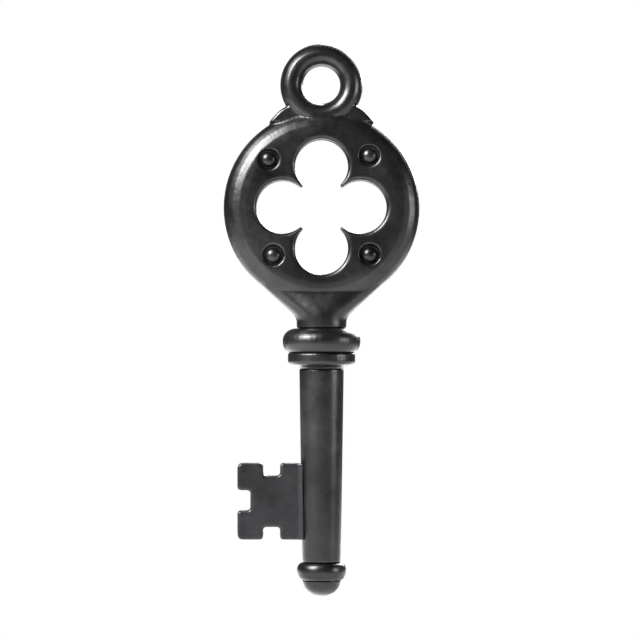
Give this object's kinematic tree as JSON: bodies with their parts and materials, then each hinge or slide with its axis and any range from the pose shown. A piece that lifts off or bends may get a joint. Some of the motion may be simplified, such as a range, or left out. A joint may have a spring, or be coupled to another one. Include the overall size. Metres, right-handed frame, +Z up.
{
  "type": "key charm",
  "caption": "Small cast pewter key charm with a black finish: hanging eye, round bow pierced by a quatrefoil, collared shank, notched bit and turned tip.",
  "frame": {"origin": "centre of the hole in the hanging eye, where a jump ring holds the charm up", "axes": "+Z up along the shank towards the eye, the front face looks along -Y, +X to the right of the picture; the bit points along -X"},
  "size_m": [0.0114, 0.0046, 0.032],
  "materials": {
    "black_pewter": "oxidised black pewter, tumbled to a soft sheen"
  },
  "bodies": {
    "root": {"hanging_eye": "black_pewter", "bow_plate": "black_pewter", "bow_stud_1": "black_pewter", "bow_stud_2": "black_pewter", "bow_stud_3": "black_pewter", "bow_stud_4": "black_pewter", "neck": "black_pewter", "collar_bead": "black_pewter", "collar_cup": "black_pewter", "shank": "black_pewter", "bit": "black_pewter", "tip_ring": "black_pewter", "tip_button": "black_pewter"}
  },
  "joints": []
}
